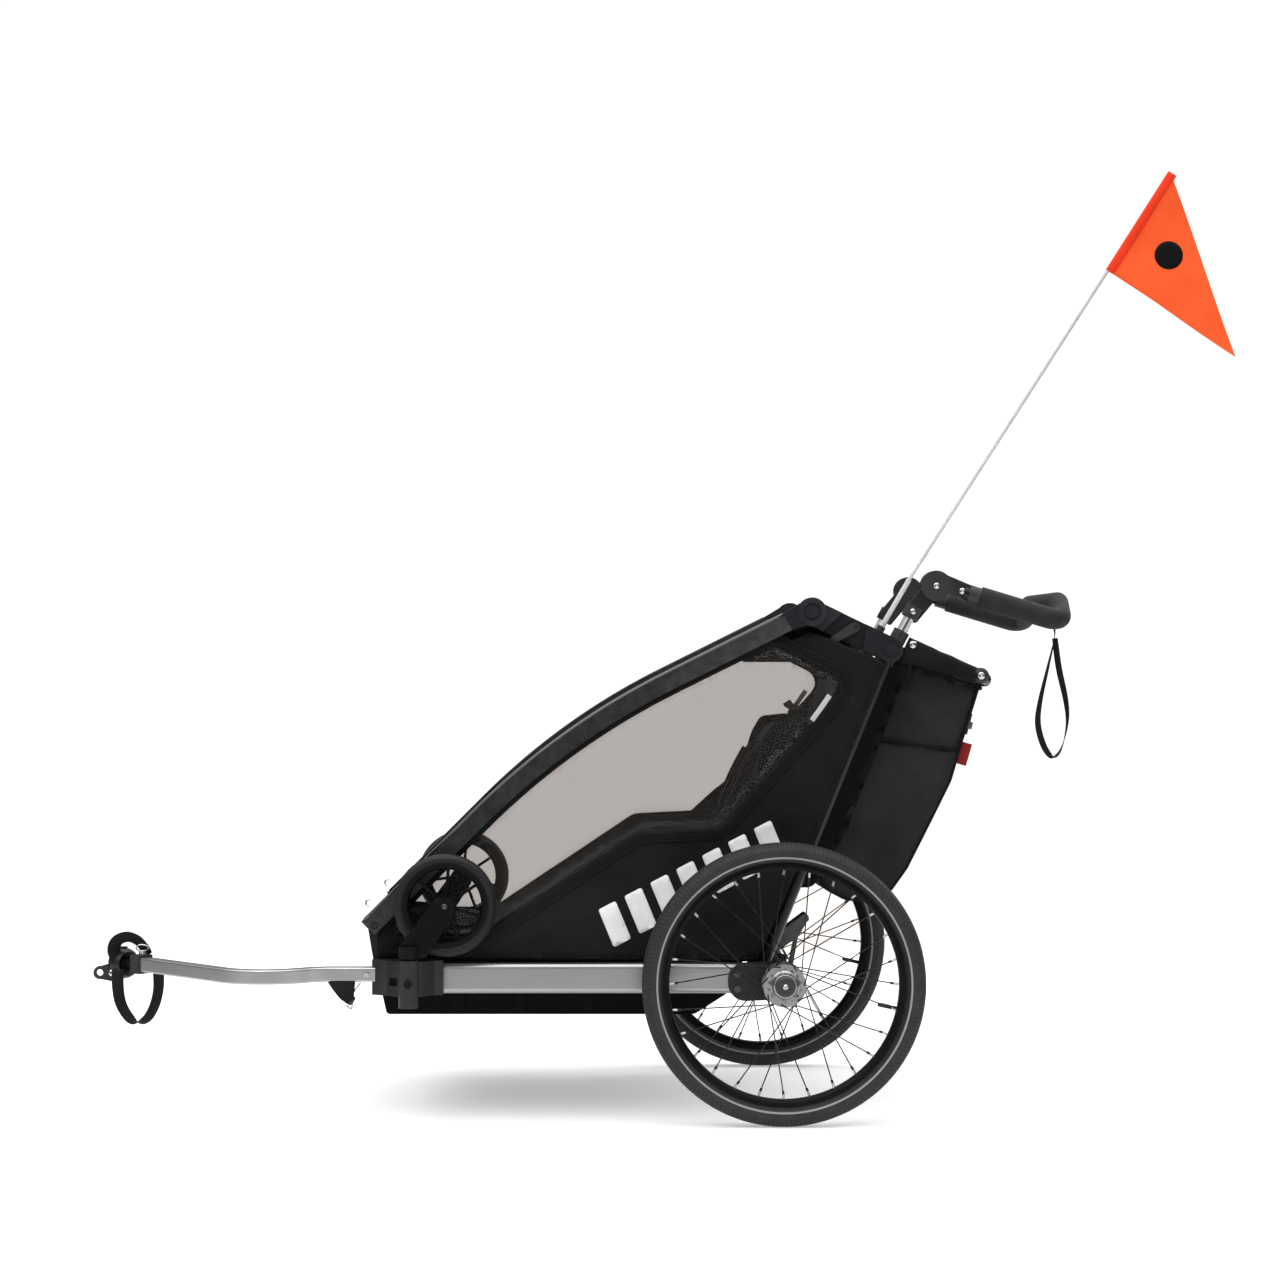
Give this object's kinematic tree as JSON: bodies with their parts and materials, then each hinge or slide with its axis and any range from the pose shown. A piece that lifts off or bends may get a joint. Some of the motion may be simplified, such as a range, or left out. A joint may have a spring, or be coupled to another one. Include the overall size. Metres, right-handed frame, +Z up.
{
  "type": "child bicycle trailer",
  "caption": "Two-seat child bicycle trailer with enclosed cabin, spoked wheels, stowed castors, folding frame, push handle, flag and drawbar hitch.",
  "frame": {"origin": "on the ground under the middle of the whole trailer", "axes": "+X forward to the tow hitch, +Y to the trailer's left, +Z up"},
  "size_m": [2.039, 0.864, 1.6636],
  "materials": {
    "anodised_rail": "satin anodised",
    "bracket_plastic": "moulded glass-filled nylon",
    "black_casting": "textured black",
    "steel_bolt": "zinc plated",
    "frame_tube": "satin black powder coat",
    "arch_tube": "satin black powder coat",
    "tub_shell": "moulded floor tub",
    "cabin_fabric": "coated woven polyester",
    "seat_fabric": "padded woven polyester",
    "bag_fabric": "coated woven polyester",
    "window_film": "clear tinted film",
    "tyre_rubber": "black rubber",
    "rim_black": "anodised black",
    "spoke_black": "black spokes with silver nipples",
    "hub_alloy": "machined",
    "axle_cap": "moulded cap on a steel axle",
    "button_steel": "turned",
    "castor_plastic": "moulded",
    "castor_rubber": "solid rubber",
    "link_plastic": "moulded",
    "handle_alloy": "satin anodised",
    "hinge_plastic": "moulded",
    "grip_foam": "closed-cell foam",
    "pole_white": "glass-fibre rod",
    "flag_orange": "woven nylon",
    "brake_grey": "moulded",
    "drawbar_alloy": "satin anodised",
    "hitch_steel": "black coated steel",
    "webbing": "woven webbing"
  },
  "bodies": {
    "chassis": {"side_rails": "anodised_rail", "corner_brackets": "bracket_plastic", "axle_brackets": "black_casting", "frame_bolts": "steel_bolt", "cross_tubes": "frame_tube", "floor_tub": "tub_shell", "seat": "seat_fabric", "back_panel": "cabin_fabric", "side_panels": "cabin_fabric", "side_windows": "window_film", "roof_cover": "cabin_fabric", "front_window": "window_film", "front_panel": "cabin_fabric"},
    "front_arch": {"arch_bars": "arch_tube", "arch_end_caps": "link_plastic"},
    "rear_frame": {"rear_uprights": "frame_tube", "boot_frame": "frame_tube", "handle_sockets": "hinge_plastic", "luggage_bag": "bag_fabric"},
    "top_link": {"link_bars": "link_plastic"},
    "left_lever": {"left_lock_lever": "hinge_plastic"},
    "right_lever": {"right_lock_lever": "hinge_plastic"},
    "push_stem": {"handle_stems": "handle_alloy", "hinge_bases": "hinge_plastic"},
    "push_handle": {"hinge_arms": "hinge_plastic", "handle_bar": "frame_tube", "handle_grip": "grip_foam"},
    "safety_flag": {"flag_pole": "pole_white", "flag_cloth": "flag_orange"},
    "brake": {"brake_pedal": "brake_grey"},
    "tow_bar": {"drawbar": "drawbar_alloy", "hitch_block": "bracket_plastic", "hitch_strap": "webbing"},
    "tow_snap": {"snap_button": "button_steel"},
    "tow_pin": {"hitch_pin": "button_steel"},
    "tow_cup": {"hitch_cup": "hitch_steel"},
    "tow_arm": {"hitch_arm": "hitch_steel"},
    "left_axle": {"left_axle_pin": "axle_cap"},
    "left_axle_release": {"left_axle_button": "button_steel"},
    "left_wheel": {"left_tyre": "tyre_rubber", "left_rim": "rim_black", "left_spokes": "spoke_black", "left_hub": "hub_alloy"},
    "left_castor_post": {"left_castor_stem": "castor_plastic"},
    "left_castor_swivel": {"left_castor_fork": "castor_plastic"},
    "left_castor_roller": {"left_castor_tyre": "castor_rubber", "left_castor_wheel": "castor_plastic"},
    "left_castor_release": {"left_castor_button": "button_steel"},
    "right_axle": {"right_axle_pin": "axle_cap"},
    "right_axle_release": {"right_axle_button": "button_steel"},
    "right_wheel": {"right_tyre": "tyre_rubber", "right_rim": "rim_black", "right_spokes": "spoke_black", "right_hub": "hub_alloy"},
    "right_castor_post": {"right_castor_stem": "castor_plastic"},
    "right_castor_swivel": {"right_castor_fork": "castor_plastic"},
    "right_castor_roller": {"right_castor_tyre": "castor_rubber", "right_castor_wheel": "castor_plastic"},
    "right_castor_release": {"right_castor_button": "button_steel"}
  },
  "joints": [
    {"name": "rear_fold", "type": "hinge", "parent": "chassis", "child": "rear_frame", "pos_m": [-0.1775, 0, 0.252], "axis": [0, 1, 0], "range_deg": [0, 86], "deforming": ["seat", "back_panel", "side_panels", "side_windows", "roof_cover", "front_window", "front_panel"]},
    {"name": "arch_fold", "type": "hinge", "parent": "chassis", "child": "front_arch", "pos_m": [0.4955, 0, 0.341], "axis": [0, -1, 0], "range_deg": [0, 34]},
    {"name": "link_fold", "type": "hinge", "parent": "rear_frame", "child": "top_link", "pos_m": [-0.4075, 0, 0.821], "axis": [0, -1, 0], "range_deg": [0, 52]},
    {"name": "push_slide", "type": "slide", "parent": "rear_frame", "child": "push_stem", "axis": [-0.4695, 0, 0.8829], "range_m": [0, 0.04]},
    {"name": "push_tilt", "type": "hinge", "parent": "push_stem", "child": "push_handle", "pos_m": [-0.492, 0, 0.9345], "axis": [0, 1, 0], "range_deg": [-20, 70]},
    {"name": "flag_slide", "type": "slide", "parent": "rear_frame", "child": "safety_flag", "axis": [-0.503, 0, 0.8643], "range_m": [0, 0.05]},
    {"name": "brake_press", "type": "hinge", "parent": "chassis", "child": "brake", "pos_m": [-0.2475, 0, 0.228], "axis": [0, -1, 0], "range_deg": [0, 45]},
    {"name": "tow_slide", "type": "slide", "parent": "chassis", "child": "tow_bar", "axis": [1, 0, 0], "range_m": [0, 0.08]},
    {"name": "snap_press", "type": "slide", "parent": "tow_bar", "child": "tow_snap", "axis": [0, -1, 0], "range_m": [0, 0.004], "stiffness_N_per_m": 400},
    {"name": "pin_lift", "type": "slide", "parent": "tow_bar", "child": "tow_pin", "axis": [0, 0, 1], "range_m": [0, 0.03]},
    {"name": "hitch_yaw", "type": "hinge", "parent": "tow_bar", "child": "tow_cup", "pos_m": [0.9648, 0.1166, 0.254], "axis": [0, 0, 1], "range_deg": [-20, 20]},
    {"name": "hitch_pitch", "type": "hinge", "parent": "tow_cup", "child": "tow_arm", "pos_m": [0.9835, 0.1166, 0.238], "axis": [0, 1, 0], "range_deg": [-20, 20]},
    {"name": "left_axle_pull", "type": "slide", "parent": "chassis", "child": "left_axle", "axis": [0, 1, 0], "range_m": [0, 0.12]},
    {"name": "left_axle_press", "type": "slide", "parent": "left_axle", "child": "left_axle_release", "axis": [0, -1, 0], "range_m": [0, 0.003], "stiffness_N_per_m": 400},
    {"name": "left_wheel_spin", "type": "hinge", "parent": "left_axle", "child": "left_wheel", "pos_m": [-0.2155, 0.385, 0.245], "axis": [0, 1, 0], "continuous": true},
    {"name": "left_castor_lift", "type": "slide", "parent": "chassis", "child": "left_castor_post", "axis": [0, 0, 1], "range_m": [0, 0.06]},
    {"name": "left_castor_turn", "type": "hinge", "parent": "left_castor_post", "child": "left_castor_swivel", "pos_m": [0.4325, 0.376, 0.298], "axis": [0, 0, -1], "range_deg": [0, 120]},
    {"name": "left_castor_spin", "type": "hinge", "parent": "left_castor_swivel", "child": "left_castor_roller", "pos_m": [0.3705, 0.346, 0.378], "axis": [0, 1, 0], "continuous": true},
    {"name": "left_castor_press", "type": "slide", "parent": "chassis", "child": "left_castor_release", "axis": [0, -1, 0], "range_m": [0, 0.0025], "stiffness_N_per_m": 400},
    {"name": "left_lever_open", "type": "hinge", "parent": "top_link", "child": "left_lever", "pos_m": [-0.3465, 0.297, 0.862], "axis": [0, 1, 0], "range_deg": [0, 40]},
    {"name": "right_axle_pull", "type": "slide", "parent": "chassis", "child": "right_axle", "axis": [0, -1, 0], "range_m": [0, 0.12]},
    {"name": "right_axle_press", "type": "slide", "parent": "right_axle", "child": "right_axle_release", "axis": [0, 1, 0], "range_m": [0, 0.003], "stiffness_N_per_m": 400},
    {"name": "right_wheel_spin", "type": "hinge", "parent": "right_axle", "child": "right_wheel", "pos_m": [-0.2155, -0.385, 0.245], "axis": [0, 1, 0], "continuous": true},
    {"name": "right_castor_lift", "type": "slide", "parent": "chassis", "child": "right_castor_post", "axis": [0, 0, 1], "range_m": [0, 0.06]},
    {"name": "right_castor_turn", "type": "hinge", "parent": "right_castor_post", "child": "right_castor_swivel", "pos_m": [0.4325, -0.376, 0.298], "axis": [0, 0, 1], "range_deg": [0, 120]},
    {"name": "right_castor_spin", "type": "hinge", "parent": "right_castor_swivel", "child": "right_castor_roller", "pos_m": [0.3705, -0.346, 0.378], "axis": [0, 1, 0], "continuous": true},
    {"name": "right_castor_press", "type": "slide", "parent": "chassis", "child": "right_castor_release", "axis": [0, 1, 0], "range_m": [0, 0.0025], "stiffness_N_per_m": 400},
    {"name": "right_lever_open", "type": "hinge", "parent": "top_link", "child": "right_lever", "pos_m": [-0.3465, -0.297, 0.862], "axis": [0, 1, 0], "range_deg": [0, 40]}
  ],
  "couplings": [
    {"joint": "arch_fold", "follows": "rear_fold", "ratio": 0.395},
    {"joint": "link_fold", "follows": "rear_fold", "ratio": 0.6}
  ]
}
